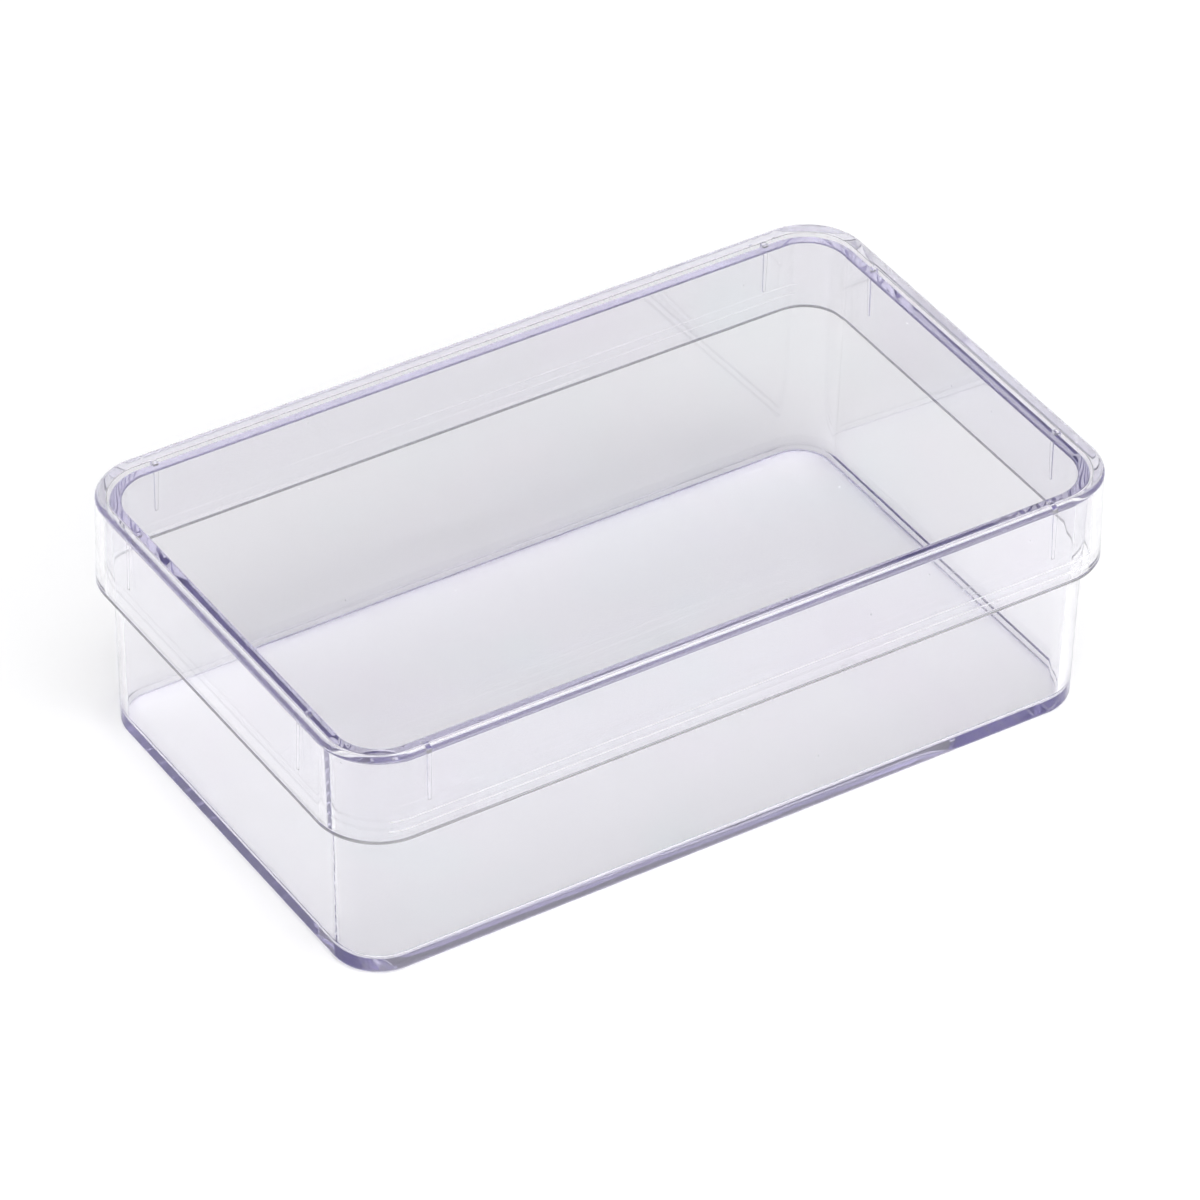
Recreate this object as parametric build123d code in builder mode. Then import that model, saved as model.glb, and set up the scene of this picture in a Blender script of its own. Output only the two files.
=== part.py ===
# Clear moulded storage box with a lift-off lid.
#
# The box is a drafted shell with rounded corners. The lid is a flat plate with a skirt that reaches down
# over the upper third of the box's walls. Eight small tapered ribs inside the skirt centre the lid on the
# box. All sizes are in millimetres. The origin is the centre of the box's underside, X runs along the long
# side, Y to the back and Z up.

from math import atan, degrees
import os

from build123d import *

# Sizes of the box, measured at its rim, where it is widest.
box_length = 97.2
box_width = 57.7
box_height = 30.25
box_corner_radius = 7.1
box_wall = 1.35
box_floor = 1.3
box_draft = 1.15
box_bottom_rounding = 0.75
box_inner_rounding = 1.0
box_rim_rounding = 0.25

# Sizes of the lid.
lid_plate = 1.05
lid_skirt_wall = 1.2
lid_skirt_depth = 10.55
lid_outer_draft = 0.82
lid_inner_draft = 1.0
lid_top_rounding = 0.6
lid_inner_rounding = 0.2
lid_edge_chamfer = 0.15

# How the lid sits on the box: the room between the box's rim and the skirt, the height of the small
# seats that hold the plate off the rim, and how much tighter than a concentric corner the skirt's corner
# is, which leaves more room there.
lid_side_gap = 0.2
lid_seat_height = 0.4
lid_corner_relief = 0.5

# Centring ribs inside the skirt. Their places are measured from the centre lines of the lid. Each one
# has a seat at its root that reaches over the rim and rests on it.
rib_tip_below_rim = 6.2
rib_root_width = 0.6
rib_tip_width = 0.35
rib_clearance = 0.05
rib_seat_reach = 0.6
rib_place_on_long_side = 40.3
rib_place_on_short_side = 18.2

# The lid is made around the box.
cavity_length = box_length + 2 * lid_side_gap
cavity_width = box_width + 2 * lid_side_gap
cavity_corner_radius = box_corner_radius + lid_side_gap - lid_corner_relief
lid_underside = box_height + lid_seat_height
lid_top = lid_underside + lid_plate
skirt_foot = lid_underside - lid_skirt_depth


def hang_block(level, length, width, radius, depth, draft, mode=Mode.ADD):
    """Hang a block with rounded corners down from a level, narrowing by its draft angle."""
    with BuildSketch(Plane.XY.offset(level)) as outline:
        RectangleRounded(length, width, radius)
    extrude(outline.sketch, amount=-depth, taper=draft, mode=mode)


def rib_bars(inner, outer, width):
    """Sketch the eight bars that cross the gap, from inner to outer, both measured outwards from the rim."""
    reach = outer - inner
    long_side_y = box_width / 2 + inner + reach / 2
    short_side_x = box_length / 2 + inner + reach / 2
    with GridLocations(2 * rib_place_on_long_side, 2 * long_side_y, 2, 2):
        Rectangle(width, reach)
    with GridLocations(2 * short_side_x, 2 * rib_place_on_short_side, 2, 2):
        Rectangle(reach, width)


# The box: an outer block that narrows downwards, hollowed from its rim.
with BuildPart() as box:
    hang_block(box_height, box_length, box_width, box_corner_radius, box_height, box_draft)
    hang_block(
        box_height,
        box_length - 2 * box_wall,
        box_width - 2 * box_wall,
        box_corner_radius - box_wall,
        box_height - box_floor,
        box_draft,
        Mode.SUBTRACT,
    )
    # The lowest ring of edges is the foot and the next one up is the inner edge of the floor.
    foot_edges = box.edges().group_by(Axis.Z)[0]
    floor_edges = box.edges().group_by(Axis.Z)[1]
    rim_edges = box.edges().group_by(Axis.Z)[-1]
    fillet(foot_edges, box_bottom_rounding)
    fillet(floor_edges, box_inner_rounding)
    fillet(rim_edges, box_rim_rounding)
box.part.label = "box"


# The lid: a block that widens downwards from its flat top, hollowed from the skirt's foot.
with BuildPart() as lid:
    top_length = cavity_length + 2 * lid_skirt_wall
    top_width = cavity_width + 2 * lid_skirt_wall
    top_radius = cavity_corner_radius + lid_skirt_wall
    hang_block(lid_top, top_length, top_width, top_radius, lid_top - skirt_foot, -lid_outer_draft)
    hang_block(
        lid_underside,
        cavity_length,
        cavity_width,
        cavity_corner_radius,
        lid_skirt_depth,
        -lid_inner_draft,
        Mode.SUBTRACT,
    )
    # From below: the two rings at the skirt's foot, then upwards the ceiling's ring and the top's ring.
    skirt_foot_edges = lid.edges().group_by(Axis.Z)[0]
    ceiling_edges = lid.edges().group_by(Axis.Z)[-2]
    top_edges = lid.edges().group_by(Axis.Z)[-1]
    fillet(top_edges, lid_top_rounding)
    fillet(ceiling_edges, lid_inner_rounding)
    chamfer(skirt_foot_edges, lid_edge_chamfer)

    # Each rib starts inside the plate and inside the skirt's wall, so it grows out of both, and its
    # face stands a small clearance off the box's rim. It narrows evenly to its tip.
    rib_start = lid_underside + lid_plate / 2
    rib_length = rib_start - box_height + rib_tip_below_rim
    rib_draft = degrees(atan((rib_root_width - rib_tip_width) / 2 / rib_length))
    rib_face = rib_clearance
    rib_back = lid_side_gap + lid_skirt_wall / 2
    with BuildSketch(Plane.XY.offset(rib_start)) as rib_roots:
        rib_bars(rib_face, rib_back, rib_root_width)
    extrude(amount=-rib_length, taper=rib_draft)

    # The seats are the deeper tops of the ribs. Their undersides lie on the rim.
    with BuildSketch(Plane.XY.offset(rib_start)) as seat_roots:
        rib_bars(-rib_seat_reach, rib_back, rib_root_width)
    extrude(amount=box_height - rib_start)
lid.part.label = "lid"


os.makedirs("parts", exist_ok=True)
export_step(box.part, "parts/box.step")
export_step(lid.part, "parts/lid.step")
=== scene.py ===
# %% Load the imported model
import math

import bmesh
import bpy
from mathutils import Matrix, Vector


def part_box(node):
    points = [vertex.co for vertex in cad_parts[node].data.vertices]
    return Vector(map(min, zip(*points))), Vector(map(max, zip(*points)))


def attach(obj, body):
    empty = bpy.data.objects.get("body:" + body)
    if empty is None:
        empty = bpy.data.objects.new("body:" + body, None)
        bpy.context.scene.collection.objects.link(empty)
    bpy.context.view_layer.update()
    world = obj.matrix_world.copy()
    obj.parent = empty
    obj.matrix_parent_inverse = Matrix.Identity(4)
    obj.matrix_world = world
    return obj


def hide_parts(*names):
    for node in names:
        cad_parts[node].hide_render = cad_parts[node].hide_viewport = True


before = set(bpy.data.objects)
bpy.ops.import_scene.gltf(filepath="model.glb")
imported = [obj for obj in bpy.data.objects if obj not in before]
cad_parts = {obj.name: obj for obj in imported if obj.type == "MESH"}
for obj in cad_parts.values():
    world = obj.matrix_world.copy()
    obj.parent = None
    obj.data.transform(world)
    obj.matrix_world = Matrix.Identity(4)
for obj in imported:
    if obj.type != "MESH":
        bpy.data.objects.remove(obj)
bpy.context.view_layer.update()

# %% [markdown]
# # A clear storage box with a lift-off lid
# The object is two clear mouldings: a box with drafted walls and rounded corners, and a flat lid whose skirt
# reaches down over the box. Clear plastic shows every surface, inside and out, because light bends at each one.
# So both pieces are modelled again here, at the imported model's sizes but with finer rounded edges, and the packed
# nodes stay behind them for collision. Only the corners differ: the photo's are 0.7 mm tighter than the packed
# ones.

# %% Sizes, in metres
MM = 0.001
box_low, box_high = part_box("box")
lid_low, lid_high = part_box("lid")

rim_level = box_high.z
rim_length = 97.2 * MM
rim_width = 57.7 * MM
box_corner = 6.4 * MM
box_wall = 1.35 * MM
box_draft = math.tan(math.radians(1.15))
floor_thickness = 1.3 * MM

top_level = lid_high.z
skirt_level = lid_low.z
plate_thickness = 1.05 * MM
skirt_wall = 1.2 * MM
side_gap = 0.2 * MM
cavity_corner = 6.1 * MM
outer_flare = math.tan(math.radians(0.82))
inner_flare = math.tan(math.radians(1.0))
print("box", [round(v / MM, 2) for v in box_high - box_low], "lid", [round(v / MM, 2) for v in lid_high - lid_low])

# %% [markdown]
# ## Making a moulded shell by hand
# A moulded shell is one outline that steps in and along a few times: down a drafted wall, across a rim, down the
# inside. By hand that is a flat plate with its corners bevelled round, then the Inset tool, each time with a
# thickness (how far in) and a depth (how far along the face's normal). Inset keeps the walls parallel, so every
# ring has true round corners.

# %% Helpers: outline, step and the open side
CORNER_STEPS = 40


def start_outline(name, length, width, radius, level):
    """A flat face with rounded corners, left in edit mode with the face selected."""
    bpy.ops.object.select_all(action="DESELECT")
    bpy.ops.mesh.primitive_plane_add(size=1, location=(0, 0, level))
    piece = bpy.context.object
    piece.name = piece.data.name = name
    piece.scale = (length, width, 1)
    bpy.ops.object.transform_apply(location=True, rotation=False, scale=True)
    bpy.ops.object.mode_set(mode="EDIT")
    bpy.ops.mesh.select_mode(type="VERT")
    bpy.ops.mesh.select_all(action="SELECT")
    bpy.ops.mesh.bevel(offset=radius, segments=CORNER_STEPS, affect="VERTICES", profile=0.5)
    bpy.ops.mesh.select_mode(type="FACE")
    bpy.ops.mesh.select_all(action="SELECT")
    return piece


def step(inwards, along):
    """One inset of the selected face: inwards across it, and along its normal."""
    bpy.ops.mesh.inset(thickness=inwards, depth=along, use_even_offset=True, use_boundary=True)


def fill_open_side():
    """Fill the open outline and leave only the new face selected."""
    bpy.ops.mesh.select_mode(type="EDGE")
    bpy.ops.mesh.select_all(action="DESELECT")
    bpy.ops.mesh.select_non_manifold(extend=False, use_wire=False, use_boundary=True, use_multi_face=False,
                                     use_non_contiguous=False, use_verts=False)
    bpy.ops.mesh.edge_face_add()
    bpy.ops.mesh.select_mode(type="FACE")


# %% [markdown]
# ## Finishing a shell
# The edges that the mould rounds are picked by their height and bevelled, small ones in fewer steps. Weighted
# normals then let a large flat face keep its own direction up to its rounded edge. On clear plastic that matters
# twice: a normal that leans bends what is seen through the face.

# %% Helpers: rounding edges, closing up and measuring
LEVEL_TOLERANCE = 0.001 * MM
SEAM_TOLERANCE = 0.0005 * MM
FLATTEST_CORNER = math.radians(20)
SHARP_CORNER = math.radians(40)
LARGE_STEPS, SMALL_STEPS = 10, 8


def round_level(piece, level, radius, segments):
    """Bevel the corner edges that lie at a level, as a fillet. An edge across a flat face isn't a corner."""
    bpy.ops.mesh.select_mode(type="EDGE")
    bpy.ops.mesh.select_all(action="DESELECT")
    mesh = bmesh.from_edit_mesh(piece.data)
    for edge in mesh.edges:
        at_level = all(abs(v.co.z - level) < LEVEL_TOLERANCE for v in edge.verts)
        if at_level and edge.calc_face_angle() > FLATTEST_CORNER:
            edge.select_set(True)
    bmesh.update_edit_mesh(piece.data)
    bpy.ops.mesh.bevel(offset=radius, segments=segments, profile=0.5, affect="EDGES", clamp_overlap=False)


def close_up(piece):
    """Merge doubles, point the faces outwards and leave edit mode."""
    bpy.ops.mesh.select_mode(type="VERT")
    bpy.ops.mesh.select_all(action="SELECT")
    bpy.ops.mesh.remove_doubles(threshold=SEAM_TOLERANCE)
    bpy.ops.mesh.normals_make_consistent(inside=False)
    bpy.ops.object.mode_set(mode="OBJECT")


def smooth_shell(piece):
    """Smooth shading whose normals follow the large faces, so a flat plate stays flat up to its rounded edge."""
    bpy.ops.object.select_all(action="DESELECT")
    piece.select_set(True)
    bpy.context.view_layer.objects.active = piece
    bpy.ops.object.shade_smooth_by_angle(angle=SHARP_CORNER)
    weigh = piece.modifiers.new("weigh", "WEIGHTED_NORMAL")
    weigh.mode = "FACE_AREA"
    weigh.weight = 100
    weigh.keep_sharp = True
    bpy.ops.object.modifier_apply(modifier=weigh.name)


def report(piece):
    """Print the size, the closedness and the volume of a piece."""
    measure = bmesh.new()
    measure.from_mesh(piece.data)
    open_edges = sum(1 for e in measure.edges if not e.is_manifold)
    volume = measure.calc_volume(signed=True)
    triangles = sum(len(f.verts) - 2 for f in measure.faces)
    measure.free()
    xs, ys, zs = zip(*(v.co for v in piece.data.vertices))
    size = [round((max(c) - min(c)) / MM, 3) for c in (xs, ys, zs)]
    print(piece.name, "size", size, "triangles", triangles, "open edges", open_edges, "cm3", round(volume * 1e6, 3))


# %% [markdown]
# ## The box
# The outside starts at the rim, where the box is widest, and steps down the drafted wall to the underside. Then
# the open side is filled and the inside is stepped from there: across the rim, and down the inner wall to the
# floor. The foot, the floor's corner and both edges of the rim are rounded last.

# %% Model the box
RIM_ROUNDING = 0.25 * MM
FOOT_ROUNDING = 0.75 * MM
FLOOR_ROUNDING = 1.0 * MM

box_shell = start_outline("box_shell", rim_length, rim_width, box_corner, rim_level)
bpy.ops.mesh.flip_normals()
step(rim_level * box_draft, rim_level)
fill_open_side()
bpy.ops.mesh.normals_make_consistent(inside=False)
step(box_wall, 0)
inner_depth = rim_level - floor_thickness
step(inner_depth * box_draft, -inner_depth)
round_level(box_shell, 0, FOOT_ROUNDING, LARGE_STEPS)
round_level(box_shell, floor_thickness, FLOOR_ROUNDING, LARGE_STEPS)
round_level(box_shell, rim_level, RIM_ROUNDING, SMALL_STEPS)
close_up(box_shell)
smooth_shell(box_shell)
report(box_shell)

# %% [markdown]
# ## The lid
# The lid starts at the foot of its skirt, its widest outline, and steps up to the flat top. From below, the
# skirt's wall and the hollow are stepped the same way. It is smoothed later, when its ribs are on.

# %% Model the lid
TOP_ROUNDING = 0.6 * MM
CEILING_ROUNDING = 0.2 * MM
SKIRT_ROUNDING = 0.15 * MM

lid_height = top_level - skirt_level
skirt_depth = lid_height - plate_thickness
ceiling_level = top_level - plate_thickness
cavity_length = rim_length + 2 * side_gap
cavity_width = rim_width + 2 * side_gap
skirt_grows = skirt_wall + lid_height * outer_flare
lid_shell = start_outline("lid_shell", cavity_length + 2 * skirt_grows, cavity_width + 2 * skirt_grows,
                          cavity_corner + skirt_grows, skirt_level)
step(lid_height * outer_flare, lid_height)
fill_open_side()
bpy.ops.mesh.normals_make_consistent(inside=False)
step(skirt_grows - skirt_depth * inner_flare, 0)
step(skirt_depth * inner_flare, -skirt_depth)
round_level(lid_shell, top_level, TOP_ROUNDING, LARGE_STEPS)
round_level(lid_shell, ceiling_level, CEILING_ROUNDING, SMALL_STEPS)
round_level(lid_shell, skirt_level, SKIRT_ROUNDING, SMALL_STEPS)
close_up(lid_shell)
report(lid_shell)

# %% [markdown]
# ## The centring ribs and their seats
# Eight short ribs inside the skirt, two near each corner, keep the lid centred on the box. Each is a bar that
# narrows to its tip, so it leaves the mould. Above it a shorter bar reaches further in, over the rim, as a small
# seat that holds the plate off the rim. Both start inside the lid's plate and the skirt's wall, and a union joins
# them to the lid, so that light passes from rib to skirt with no surface between them. A film of air stays
# between seat and rim: two clear faces at exactly the same place would hide each other.

# %% Model the ribs and join them to the lid
RIB_ON_LONG_SIDE = 40.3 * MM
RIB_ON_SHORT_SIDE = 18.2 * MM
RIB_BELOW_RIM = 6.2 * MM
RIB_ROOT = 0.6 * MM
RIB_TIP = 0.35 * MM
RIB_CLEARANCE = 0.05 * MM
SEAT_REACH = 0.6 * MM
AIR_FILM = 0.015 * MM

bar_level = ceiling_level + plate_thickness / 2
bar_back = side_gap + skirt_wall / 2
rib_tip_level = rim_level - RIB_BELOW_RIM


def make_bar(place, side, face, bottom, narrowing):
    """A bar hung from inside the plate. side is the outward direction, face how far outside the rim it starts."""
    reach = bar_back - face
    rim = rim_length / 2 if side.x else rim_width / 2
    centre = side * (rim + face + reach / 2) + place
    bpy.ops.object.select_all(action="DESELECT")
    bpy.ops.mesh.primitive_plane_add(size=1, location=(centre.x, centre.y, bar_level))
    bar = bpy.context.object
    bar.scale = (reach, RIB_ROOT, 1) if side.x else (RIB_ROOT, reach, 1)
    bpy.ops.object.transform_apply(location=True, rotation=False, scale=True)
    bpy.ops.object.mode_set(mode="EDIT")
    bpy.ops.mesh.select_all(action="SELECT")
    bpy.ops.mesh.flip_normals()
    step(narrowing, bar_level - bottom)
    fill_open_side()
    close_up(bar)
    return bar


bars = []
for side, place in (((1, 0), (0, RIB_ON_SHORT_SIDE)), ((0, 1), (RIB_ON_LONG_SIDE, 0))):
    for out in (-1, 1):
        for along in (-1, 1):
            outwards = Vector((*side, 0)) * out
            spot = Vector((*place, 0)) * along
            bars.append(make_bar(spot, outwards, RIB_CLEARANCE, rib_tip_level, (RIB_ROOT - RIB_TIP) / 2))
            bars.append(make_bar(spot, outwards, -SEAT_REACH, rim_level + AIR_FILM, 0))
for bar in bars:
    union = lid_shell.modifiers.new("union", "BOOLEAN")
    union.operation = "UNION"
    union.solver = "EXACT"
    union.object = bar
    bpy.context.view_layer.objects.active = lid_shell
    bpy.ops.object.modifier_apply(modifier=union.name)
    bpy.data.objects.remove(bar)
smooth_shell(lid_shell)
report(lid_shell)

# %% Each piece stands for its node and moves with its body
for piece, node in ((box_shell, "box"), (lid_shell, "lid")):
    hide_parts(node)
    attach(piece, node)

# %% [markdown]
# ## What keeps clear plastic from looking perfect
# A moulding straight from the tool is almost faultless, and that is what makes a first render look false. Five
# faint things are added, each as a node group with named sockets. The plastic flowed in from a gate, and its
# surface still waves a little. Handling leaves hair-fine scratches and dust. Three pale lines along the skirt's long
# sides are a painted highlight: a faint glow on them stands for the reflected glints of the skirt's lower edge.
# Stress that froze in as the plastic cooled tints it faintly, teal here and pink there. All of them read Object
# coordinates, so they stay put.

# %% Helpers: a node group with named sockets, and the nodes that fill it
def open_group(name, values_in, out_name, out_kind="NodeSocketFloat"):
    """A shader node group that reads Position and the named values, with one output."""
    group = bpy.data.node_groups.new(name, "ShaderNodeTree")
    group.interface.new_socket("Position", in_out="INPUT", socket_type="NodeSocketVector")
    for label, value in values_in.items():
        group.interface.new_socket(label, in_out="INPUT", socket_type="NodeSocketFloat").default_value = value
    group.interface.new_socket(out_name, in_out="OUTPUT", socket_type=out_kind)
    return group, group.nodes.new("NodeGroupInput"), group.nodes.new("NodeGroupOutput")


def feed(tree, socket, value):
    """Give an input socket a plain number, or link another node's output to it."""
    if isinstance(value, (int, float)):
        socket.default_value = value
    else:
        tree.links.new(value, socket)


def calculate(tree, operation, first, second=0.0, third=0.0):
    """A Math node whose inputs are sockets or numbers. Returns its value."""
    math_node = tree.nodes.new("ShaderNodeMath")
    math_node.operation = operation
    for socket, value in zip(math_node.inputs, (first, second, third)):
        feed(tree, socket, value)
    return math_node.outputs[0]


def noise(tree, position, scale, detail=1.0):
    """A noise texture at a position, with features of about 1 / scale metres. Returns its value."""
    texture = tree.nodes.new("ShaderNodeTexNoise")
    texture.inputs["Detail"].default_value = detail
    feed(tree, texture.inputs["Vector"], position)
    feed(tree, texture.inputs["Scale"], scale)
    return texture.outputs["Fac"]


def stretch(tree, position, scale, turn=(0.0, 0.0, 0.0)):
    """The position turned and scaled along each axis, so that a texture on it comes out long and thin."""
    mapping = tree.nodes.new("ShaderNodeMapping")
    mapping.inputs["Rotation"].default_value = turn
    mapping.inputs["Scale"].default_value = scale
    feed(tree, mapping.inputs["Vector"], position)
    return mapping.outputs["Vector"]


def ramp_between(tree, value, low_end, high_end):
    """0 below low_end, 1 above high_end, smooth between."""
    mapped = tree.nodes.new("ShaderNodeMapRange")
    mapped.interpolation_type = "SMOOTHSTEP"
    mapped.inputs["From Min"].default_value = low_end
    mapped.inputs["From Max"].default_value = high_end
    feed(tree, mapped.inputs["Value"], value)
    return mapped.outputs["Result"]


# %% Group: the slow waves of a moulded surface
RIPPLES_PER_WAVE = 3.7
RIPPLE_SHARE = 0.12

waves, waves_in, waves_out = open_group("mould_waves", {"Scale": 70.0}, "Height")
slow = noise(waves, waves_in.outputs["Position"], waves_in.outputs["Scale"])
ripple_scale = calculate(waves, "MULTIPLY", waves_in.outputs["Scale"], RIPPLES_PER_WAVE)
ripple = noise(waves, waves_in.outputs["Position"], ripple_scale)
feed(waves, waves_out.inputs["Height"], calculate(waves, "MULTIPLY_ADD", ripple, RIPPLE_SHARE, slow))
print("group", waves.name, "nodes", len(waves.nodes))

# %% Group: hair-fine scratches, in two directions
SCRATCH_SHAPE = (45.0, 2600.0, 2600.0)
SCRATCH_TURNS = ((0.0, 0.0, 0.35), (0.2, 0.9, -0.8))
SCRATCH_EDGE = (0.74, 0.80)
PATCH_SCALE, PATCH_EDGE = 60.0, (0.45, 0.65)

scratches, scratches_in, scratches_out = open_group("fine_scratches", {"Amount": 0.5}, "Mask")
found = 0.0
for turn in SCRATCH_TURNS:
    aligned = stretch(scratches, scratches_in.outputs["Position"], SCRATCH_SHAPE, turn)
    streak = noise(scratches, aligned, 1.0, 0.0)
    found = calculate(scratches, "MAXIMUM", ramp_between(scratches, streak, *SCRATCH_EDGE), found)
patchy = ramp_between(scratches, noise(scratches, scratches_in.outputs["Position"], PATCH_SCALE), *PATCH_EDGE)
found = calculate(scratches, "MULTIPLY", found, patchy)
found = calculate(scratches, "MULTIPLY", found, scratches_in.outputs["Amount"])
feed(scratches, scratches_out.inputs["Mask"], found)
print("group", scratches.name, "nodes", len(scratches.nodes))

# %% Group: the painted highlight lines along the skirt's long sides
# The nearest of the three lines is found by rounding the height, and Side keeps the lines on the outer faces.
LINE_COUNT = 3
LINE_BREAK_SHAPE, LINE_BREAK_EDGE = (25.0, 25.0, 900.0), (0.30, 0.50)

lines, lines_in, lines_out = open_group(
    "painted_highlight_lines", {"Lowest Line": 20.5 * MM, "Spacing": 1.3 * MM, "Width": 0.18 * MM, "Side": 29.9 * MM}, "Mask")
point = lines.nodes.new("ShaderNodeSeparateXYZ")
feed(lines, point.inputs[0], lines_in.outputs["Position"])
height = calculate(lines, "SUBTRACT", point.outputs["Z"], lines_in.outputs["Lowest Line"])
nearest = calculate(lines, "ROUND", calculate(lines, "DIVIDE", height, lines_in.outputs["Spacing"]))
nearest = calculate(lines, "MAXIMUM", calculate(lines, "MINIMUM", nearest, LINE_COUNT - 1.0), 0.0)
off_line = calculate(lines, "SUBTRACT", height, calculate(lines, "MULTIPLY", nearest, lines_in.outputs["Spacing"]))
half_width = calculate(lines, "MULTIPLY", lines_in.outputs["Width"], 0.5)
on_line = calculate(lines, "LESS_THAN", calculate(lines, "ABSOLUTE", off_line), half_width)
to_the_side = calculate(lines, "ABSOLUTE", point.outputs["Y"])
outside = calculate(lines, "GREATER_THAN", to_the_side, lines_in.outputs["Side"])
line_breaks = noise(lines, stretch(lines, lines_in.outputs["Position"], LINE_BREAK_SHAPE), 1.0)
on_outer_line = calculate(lines, "MULTIPLY", on_line, outside)
feed(lines, lines_out.inputs["Mask"], calculate(lines, "MULTIPLY", ramp_between(lines, line_breaks, *LINE_BREAK_EDGE), on_outer_line))
print("group", lines.name, "nodes", len(lines.nodes))

# %% Group: specks of dust
LONE_SCALE, LONE_EDGE = 90.0, (0.5, 0.6)

dust, dust_in, dust_out = open_group("dust_specks", {"Spacing": 230.0, "Size": 0.03}, "Mask")
cells = dust.nodes.new("ShaderNodeTexVoronoi")
feed(dust, cells.inputs["Vector"], dust_in.outputs["Position"])
feed(dust, cells.inputs["Scale"], dust_in.outputs["Spacing"])
speck = calculate(dust, "LESS_THAN", cells.outputs["Distance"], dust_in.outputs["Size"])
lone = ramp_between(dust, noise(dust, dust_in.outputs["Position"], LONE_SCALE), *LONE_EDGE)
feed(dust, dust_out.inputs["Mask"], calculate(dust, "MULTIPLY", speck, lone))
print("group", dust.name, "nodes", len(dust.nodes))

# %% Group: the faint tint of frozen stress
STRESS_DETAIL = 2.0
CLEAR = (0.961, 0.959, 0.970)
STRESS_TINTS = ((0.0, (0.946, 0.961, 0.969)), (0.36, (0.952, 0.960, 0.968)), (0.44, CLEAR), (0.58, CLEAR),
                (0.66, (0.961, 0.953, 0.970)), (1.0, (0.963, 0.946, 0.962)))

stress, stress_in, stress_out = open_group("stress_tint", {"Scale": 42.0}, "Tint", "NodeSocketColor")
bands = stress.nodes.new("ShaderNodeValToRGB")
for index, (place, colour) in enumerate(STRESS_TINTS):
    if index in (0, len(STRESS_TINTS) - 1):
        stop = bands.color_ramp.elements[0 if index == 0 else -1]
        stop.position = place
    else:
        stop = bands.color_ramp.elements.new(place)
    stop.color = (*colour, 1)
level = noise(stress, stress_in.outputs["Position"], stress_in.outputs["Scale"], STRESS_DETAIL)
feed(stress, bands.inputs["Fac"], level)
feed(stress, stress_out.inputs["Tint"], bands.outputs["Color"])
print("group", stress.name, "nodes", len(stress.nodes))

# %% [markdown]
# ## Clear plastic
# Moulded polystyrene is glass-clear but very slightly violet, and each surface loses a little light. Across a
# thin wall that can hardly be seen. Light that runs inside a wall from edge to edge passes through centimetres
# of it, so the violet of the edges belongs in the volume. The shader and its plain values stay in the material.

# %% The plastic
POLYSTYRENE_IOR = 1.59
TINT = (0.76, 0.73, 0.89)
TINT_DENSITY = 25

plastic = bpy.data.materials.new("clear_polystyrene")
plastic.use_nodes = True
tree = plastic.node_tree
surface = tree.nodes["Principled BSDF"]
surface.inputs["IOR"].default_value = POLYSTYRENE_IOR
surface.inputs["Transmission Weight"].default_value = 1.0
body = tree.nodes.new("ShaderNodeVolumeAbsorption")
body.inputs["Color"].default_value = (*TINT, 1)
body.inputs["Density"].default_value = TINT_DENSITY
feed(tree, tree.nodes["Material Output"].inputs["Volume"], body.outputs[0])
for piece in (box_shell, lid_shell):
    piece.data.materials.clear()
    piece.data.materials.append(plastic)

# %% The faint effects on it
WAVE_HEIGHT = 0.012 * MM
SCRATCH_ROUGHNESS = 0.2
DUST_ROUGHNESS = 0.45
LINE_ROUGHNESS = 0.3
HIGHLIGHT_GLOW = 0.12

position = tree.nodes.new("ShaderNodeTexCoord").outputs["Object"]


def place_group(group):
    """One node of a group in the plastic. Returns its only output."""
    used = tree.nodes.new("ShaderNodeGroup")
    used.node_tree = group
    feed(tree, used.inputs["Position"], position)
    return used.outputs[0]


painted_highlight = place_group(lines)
scratch_gloss = calculate(tree, "MULTIPLY", place_group(scratches), SCRATCH_ROUGHNESS)
dust_gloss = calculate(tree, "MULTIPLY", place_group(dust), DUST_ROUGHNESS)
line_gloss = calculate(tree, "MULTIPLY", painted_highlight, LINE_ROUGHNESS)
marks = calculate(tree, "MAXIMUM", scratch_gloss, dust_gloss)
relief = tree.nodes.new("ShaderNodeBump")
relief.inputs["Distance"].default_value = WAVE_HEIGHT
feed(tree, relief.inputs["Height"], place_group(waves))
# A faint glow on the line mask: a painted highlight, lines that shine with no lamp there.
surface.inputs["Emission Strength"].default_value = HIGHLIGHT_GLOW
feed(tree, surface.inputs["Emission Color"], painted_highlight)
feed(tree, surface.inputs["Base Color"], place_group(stress))
feed(tree, surface.inputs["Roughness"], calculate(tree, "MAXIMUM", marks, line_gloss))
feed(tree, surface.inputs["Normal"], relief.outputs["Normal"])
print("material", plastic.name, "nodes", len(tree.nodes))

# %% [markdown]
# ## The floor
# The floor is white paper, lit at a plain level, so it shows about as it is written. A weak glow, seen only by
# the camera and through gloss and plastic, lifts it to white and throws no light on the object.

# %% The floor
FLOOR_SIZE = 6
FLOOR_LEVEL = -0.1 * MM
PAPER_WHITE = 0.85
PAPER_GLOW = 0.08
WHITE = (1, 1, 1, 1)

bpy.ops.object.select_all(action="DESELECT")
bpy.ops.mesh.primitive_plane_add(size=FLOOR_SIZE, location=(0, 0, FLOOR_LEVEL))
floor = bpy.context.object
floor.name = "floor"
paper = bpy.data.materials.new("white_paper")
paper.use_nodes = True
sheet = paper.node_tree
paper_surface = sheet.nodes["Principled BSDF"]
paper_surface.inputs["Base Color"].default_value = (PAPER_WHITE, PAPER_WHITE, PAPER_WHITE, 1)
paper_surface.inputs["Roughness"].default_value = 1.0
paper_surface.inputs["Specular IOR Level"].default_value = 0.0
paper_surface.inputs["Emission Color"].default_value = WHITE
floor.data.materials.append(paper)

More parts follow.
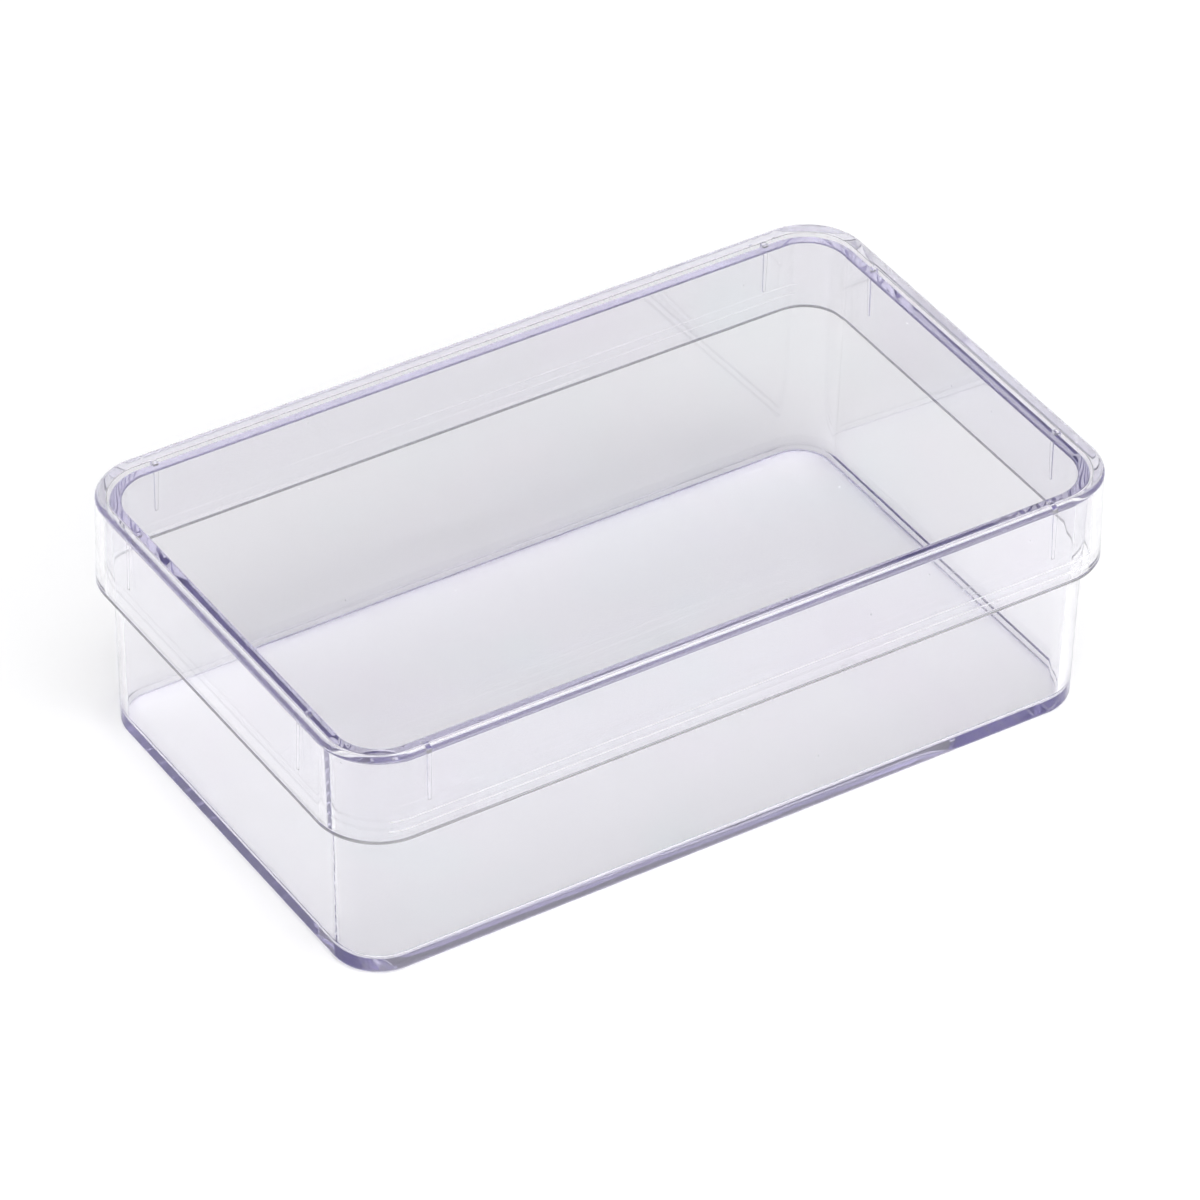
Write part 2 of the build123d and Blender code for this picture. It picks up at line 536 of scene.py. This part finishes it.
paper_rays = sheet.nodes.new("ShaderNodeLightPath").outputs
seen = paper_rays["Is Camera Ray"]
for kind in ("Is Glossy Ray", "Is Transmission Ray"):
    seen = calculate(sheet, "MAXIMUM", seen, paper_rays[kind])
feed(sheet, paper_surface.inputs["Emission Strength"], calculate(sheet, "MULTIPLY", seen, PAPER_GLOW))

# %% [markdown]
# ## The light
# The light is a wide softbox in front and a round one almost overhead, in a dim room. Clear plastic needs that
# contrast: the round light throws a soft shadow behind each wall, and the light that runs inside the walls shows
# the dim part of the room at their edges. A softbox that mirrors in the lid would wipe out all behind it. So a
# ray that has met only plastic since the camera never finds more than white, and the camera itself sees white.

# %% The light: a dim room, one wide softbox and a round one overhead
ROOM_LIGHT = 0.25
MIRRORED_LIMIT = 1.0
BACKDROP = 1.0
WIDE_LIGHT, WIDE_TURN, WIDE_LIFT, WIDE_EDGE = 1.8, -12.0, 20.0, (0.15, 0.72)
ROUND_LIGHT, ROUND_TURN, ROUND_LIFT, ROUND_EDGE = 4.0, -3.0, 76.0, (18.0, 6.0)

world = bpy.data.worlds.new("studio")
bpy.context.scene.world = world
world.use_nodes = True
sky = world.node_tree
background = sky.nodes["Background"]
background.inputs["Color"].default_value = WHITE
direction = sky.nodes.new("ShaderNodeTexCoord").outputs["Generated"]


def softbox(turn, lift, dim_end, bright_end, brightness):
    """A soft patch of light, turn degrees round from the front and lift degrees up. The ends are cosines."""
    turn, lift = math.radians(turn), math.radians(lift)
    middle = (math.sin(turn) * math.cos(lift), -math.cos(turn) * math.cos(lift), math.sin(lift))
    towards = sky.nodes.new("ShaderNodeVectorMath")
    towards.operation = "DOT_PRODUCT"
    towards.inputs[1].default_value = middle
    feed(sky, towards.inputs[0], direction)
    patch = ramp_between(sky, towards.outputs["Value"], dim_end, bright_end)
    return calculate(sky, "MULTIPLY", patch, brightness)


def change_for(chosen, usual, changed):
    """The usual strength where chosen is 0, the changed one where it is 1."""
    chooser = sky.nodes.new("ShaderNodeMix")
    chooser.data_type = "FLOAT"
    feed(sky, chooser.inputs["Factor"], chosen)
    feed(sky, chooser.inputs[2], usual)
    feed(sky, chooser.inputs[3], changed)
    return chooser.outputs[0]


wide = softbox(WIDE_TURN, WIDE_LIFT, *WIDE_EDGE, WIDE_LIGHT)
round_edge = [math.cos(math.radians(edge)) for edge in ROUND_EDGE]
overhead = softbox(ROUND_TURN, ROUND_LIFT, *round_edge, ROUND_LIGHT)
studio_light = calculate(sky, "ADD", calculate(sky, "ADD", wide, overhead), ROOM_LIGHT)
rays = sky.nodes.new("ShaderNodeLightPath").outputs
before_the_floor = calculate(sky, "LESS_THAN", rays["Diffuse Depth"], 0.5)
in_the_plastic = calculate(sky, "MULTIPLY", rays["Is Glossy Ray"], before_the_floor)
strength = change_for(in_the_plastic, studio_light, calculate(sky, "MINIMUM", studio_light, MIRRORED_LIMIT))
strength = change_for(rays["Is Camera Ray"], strength, BACKDROP)
feed(sky, background.inputs["Strength"], strength)
print("light nodes", len(sky.nodes))

# %% [markdown]
# ## Light paths
# Light that runs along inside a clear wall is mirrored from side to side many times before it leaves. With few
# bounces it would be cut off there, and the edges would turn black. Caustics let light through to the floor
# inside the box.

# %% Light paths
cycles = bpy.context.scene.cycles
cycles.max_bounces = 256
cycles.transmission_bounces = 200
cycles.glossy_bounces = 200
cycles.caustics_reflective = True
cycles.caustics_refractive = True
cycles.blur_glossy = 0.0

# %% [markdown]
# ## The camera
# The camera was found by fitting the lid's outline, the skirt's edge and the box's foot to the photo. It stands
# left of the front and looks down, from so far away that parallel edges stay nearly parallel.

# %% The camera
FOCAL_PX, FRAME_PX, SENSOR = 7654.25, 1200, 36.0
AZIMUTH, ELEVATION, ROLL = math.radians(-33.119), math.radians(37.947), math.radians(1.207)
DISTANCE, SIDEWAYS, UPWARDS = 0.86249, 0.000333, 0.011582
FARTHEST = 10

back = Vector((math.sin(AZIMUTH) * math.cos(ELEVATION), -math.cos(AZIMUTH) * math.cos(ELEVATION), math.sin(ELEVATION)))
level_right = Vector((0, 0, 1)).cross(back).normalized()
level_up = back.cross(level_right)
right = level_right * math.cos(ROLL) + level_up * math.sin(ROLL)
up = level_up * math.cos(ROLL) - level_right * math.sin(ROLL)
lens = bpy.data.cameras.new("camera")
lens.sensor_width = SENSOR
lens.lens = FOCAL_PX / FRAME_PX * SENSOR
lens.clip_end = FARTHEST
camera = bpy.data.objects.new("camera", lens)
bpy.context.scene.collection.objects.link(camera)
placed = Matrix((right, up, back)).transposed().to_4x4()
placed.translation = back * DISTANCE + right * SIDEWAYS + up * UPWARDS
camera.matrix_world = placed
bpy.context.scene.camera = camera
bpy.context.scene.view_settings.view_transform = "Standard"
